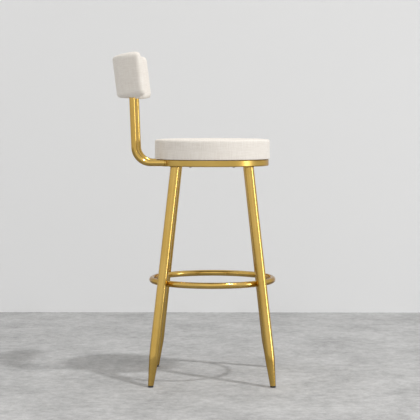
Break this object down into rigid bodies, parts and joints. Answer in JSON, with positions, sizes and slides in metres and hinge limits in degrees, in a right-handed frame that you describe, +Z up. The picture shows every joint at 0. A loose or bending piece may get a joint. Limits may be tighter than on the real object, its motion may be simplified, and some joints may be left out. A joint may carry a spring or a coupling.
{
  "type": "bar stool",
  "caption": "Bar stool with a round padded seat, a curved back pad on bent posts, splayed tapered tube legs and a welded ring footrest.",
  "frame": {"origin": "on the floor, under the middle of the stool's overall length and width", "axes": "+X towards the stool's front, +Y to the sitter's left, +Z up"},
  "size_m": [0.5105, 0.3978, 1.0157],
  "materials": {
    "gold_frame": "satin gold powder coat on steel",
    "glide": "matte black nylon",
    "cloth": "off-white linen-look weave",
    "foam": "open-cell polyurethane foam",
    "plywood": "raw birch plywood",
    "zinc": "bright zinc plate",
    "dust_cover": "black non-woven sheet"
  },
  "bodies": {
    "root": {"seat_ring": "gold_frame", "cross_tube_full": "gold_frame", "cross_tube_half_front": "gold_frame", "cross_tube_half_rear": "gold_frame", "leg_front_left": "gold_frame", "leg_front_right": "gold_frame", "leg_rear_left": "gold_frame", "leg_rear_right": "gold_frame", "foot_glide_front_left": "glide", "foot_glide_front_right": "glide", "foot_glide_rear_left": "glide", "foot_glide_rear_right": "glide", "footrest_ring": "gold_frame", "leg_welds": "gold_frame", "footrest_welds": "gold_frame", "post_welds": "gold_frame", "back_post_left": "gold_frame", "back_post_right": "gold_frame", "post_plate_left": "zinc", "post_plate_right": "zinc", "seat_board": "plywood", "seat_foam": "foam", "seat_cover": "cloth", "seat_dust_cover": "dust_cover", "seat_t_nuts": "zinc", "seat_bolts": "zinc", "seat_washers": "zinc", "back_board": "plywood", "back_foam_front": "foam", "back_foam_rear": "foam", "back_cover": "cloth", "back_screws": "zinc"}
  },
  "joints": []
}
